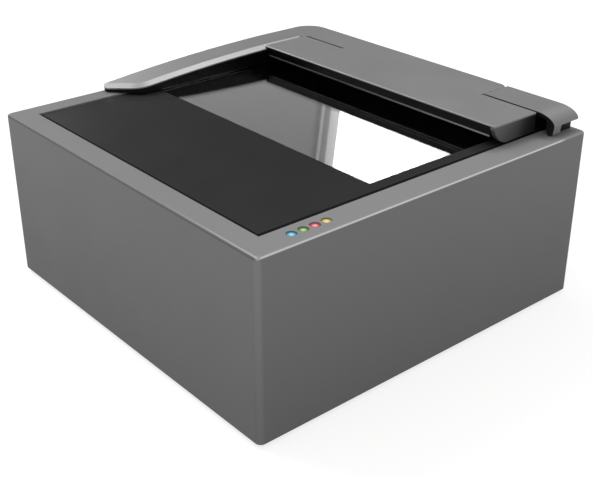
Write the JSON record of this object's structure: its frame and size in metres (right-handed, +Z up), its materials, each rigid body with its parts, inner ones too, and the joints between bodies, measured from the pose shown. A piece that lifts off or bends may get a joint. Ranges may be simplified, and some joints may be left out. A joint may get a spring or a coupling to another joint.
{
  "type": "travel document scanner",
  "caption": "Low square desktop document scanner with a glass bed, an L-shaped rear-hinged hood over a document slot, status lights and a rear connector panel.",
  "frame": {"origin": "middle of the footprint, on the surface that the feet stand on", "axes": "+X to the user's right, +Y to the back where the hood is hinged, +Z up"},
  "size_m": [0.16, 0.16, 0.0781],
  "materials": {
    "housing_grey": "fine spark-eroded texture",
    "hood_grey": "fine satin texture",
    "plate_black": "satin",
    "liner_black": "satin",
    "panel_black": "satin",
    "base_dark": "powder coat",
    "rubber_black": "matte",
    "foam_black": "closed-cell foam",
    "steel": "zinc-plated",
    "brass": "turned",
    "window_glass": "polished",
    "lens_glass": "coated",
    "light_box_black": "matte, light absorbing",
    "diffuser_white": "opal",
    "circuit_board": "solder mask",
    "chip_black": "moulded epoxy",
    "ribbon_white": "polyester film",
    "lens_blue": "tinted clear",
    "lens_green": "tinted clear",
    "lens_red": "tinted clear",
    "lens_yellow": "tinted clear"
  },
  "bodies": {
    "housing": {"housing_shell": "housing_grey", "base_plate": "base_dark", "rubber_feet": "rubber_black", "base_screws": "steel", "cover_plate": "plate_black", "window_glass": "window_glass", "glass_gasket": "foam_black", "light_box": "light_box_black", "camera_board": "circuit_board", "camera_holder": "liner_black", "camera_lens": "lens_glass", "board_standoffs": "brass", "led_bar_left": "circuit_board", "led_bar_right": "circuit_board", "diffuser_left": "diffuser_white", "diffuser_right": "diffuser_white", "main_board": "circuit_board", "main_board_chips": "chip_black", "board_screws": "steel", "buzzer": "chip_black", "camera_ribbon": "ribbon_white", "antenna_board": "circuit_board", "antenna_spacer": "foam_black", "connector_board": "circuit_board", "usb_socket": "steel", "power_socket": "chip_black", "connector_panel": "panel_black", "connector_panel_screws": "steel", "status_lens_blue": "lens_blue", "status_lens_green": "lens_green", "status_lens_red": "lens_red", "status_lens_yellow": "lens_yellow", "status_lens_holder": "liner_black", "status_board": "circuit_board", "hinge_ear": "liner_black", "hinge_block": "liner_black", "hinge_cover": "hood_grey", "hinge_pin_left": "steel", "hinge_pin_right": "steel", "hinge_screws": "steel"},
    "hood": {"hood_cover": "hood_grey", "hood_liner": "liner_black", "document_pad": "foam_black", "hood_screws": "steel", "hood_rest_pads": "rubber_black"}
  },
  "joints": [
    {"name": "hood_hinge", "type": "hinge", "parent": "housing", "child": "hood", "pos_m": [0, 0.0762, 0.0741], "axis": [-1, 0, 0], "range_deg": [0, 95]}
  ]
}
